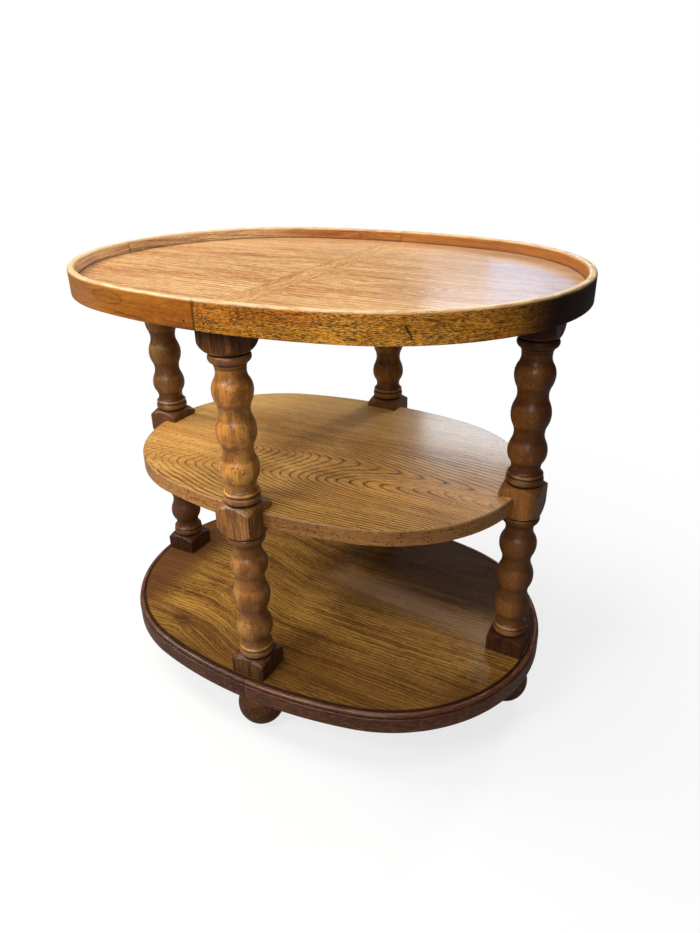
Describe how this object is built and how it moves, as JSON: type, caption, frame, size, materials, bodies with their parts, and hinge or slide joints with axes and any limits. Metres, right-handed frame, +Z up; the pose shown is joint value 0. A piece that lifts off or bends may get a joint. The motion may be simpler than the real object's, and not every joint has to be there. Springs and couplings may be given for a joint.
{
  "type": "side table",
  "caption": "Oval tiered side table: tray top with a raised rim and open oval shelves on bobbin-turned posts with ball feet.",
  "frame": {"origin": "on the floor, under the middle of the table", "axes": "+X along the long axis of the oval, +Y along the short axis towards the back, +Z up"},
  "size_m": [0.681, 0.505, 0.61],
  "materials": {
    "core_board": "pressed chipboard, unfinished, hidden inside the panels",
    "oak_top_leaf": "golden oak veneer, semi-gloss lacquer",
    "oak_top_strip": "golden oak veneer, straight grain, semi-gloss lacquer",
    "oak_backing": "plain oak veneer, thin flat lacquer",
    "oak_mid_shelf": "golden oak veneer with loops of grain, semi-gloss lacquer",
    "oak_bottom_shelf": "brown oak veneer with strong straight grain, semi-gloss lacquer",
    "oak_rim": "solid oak, distressed with dark flecks, semi-gloss lacquer",
    "oak_edge_band": "oak edge band, semi-gloss lacquer",
    "oak_moulding": "solid oak, dark brown stain, semi-gloss lacquer",
    "oak_post": "turned solid oak, brown stain with dark glaze in the grooves, semi-gloss lacquer",
    "oak_foot": "turned solid oak, dark reddish-brown stain, semi-gloss lacquer",
    "dowel_wood": "plain beech dowel, hidden in the joints",
    "steel": "zinc-coated steel"
  },
  "bodies": {
    "root": {"ball_foot_back": "oak_foot", "ball_foot_front": "oak_foot", "ball_foot_left": "oak_foot", "ball_foot_right": "oak_foot", "bottom_moulding_back_left": "oak_moulding", "bottom_moulding_back_right": "oak_moulding", "bottom_moulding_front_left": "oak_moulding", "bottom_moulding_front_right": "oak_moulding", "bottom_shelf_backing_veneer": "oak_backing", "bottom_shelf_core": "core_board", "bottom_shelf_face_veneer": "oak_bottom_shelf", "foot_bolts": "steel", "foot_glides": "steel", "mid_shelf_backing_veneer": "oak_backing", "mid_shelf_core": "core_board", "mid_shelf_dowels": "dowel_wood", "mid_shelf_edge_band_back_left": "oak_edge_band", "mid_shelf_edge_band_back_right": "oak_edge_band", "mid_shelf_edge_band_front_left": "oak_edge_band", "mid_shelf_edge_band_front_right": "oak_edge_band", "mid_shelf_face_veneer": "oak_mid_shelf", "moulding_brads": "steel", "post_back": "oak_post", "post_front": "oak_post", "post_left": "oak_post", "post_right": "oak_post", "rim_band_back_left": "oak_rim", "rim_band_back_right": "oak_rim", "rim_band_front_left": "oak_rim", "rim_band_front_right": "oak_rim", "rim_brads": "steel", "top_backing_veneer": "oak_backing", "top_core": "core_board", "top_cross_strip_back": "oak_top_strip", "top_cross_strip_front": "oak_top_strip", "top_dowels": "dowel_wood", "top_leaf_back_left": "oak_top_leaf", "top_leaf_back_right": "oak_top_leaf", "top_leaf_front_left": "oak_top_leaf", "top_leaf_front_right": "oak_top_leaf", "top_long_strip": "oak_top_strip"}
  },
  "joints": []
}
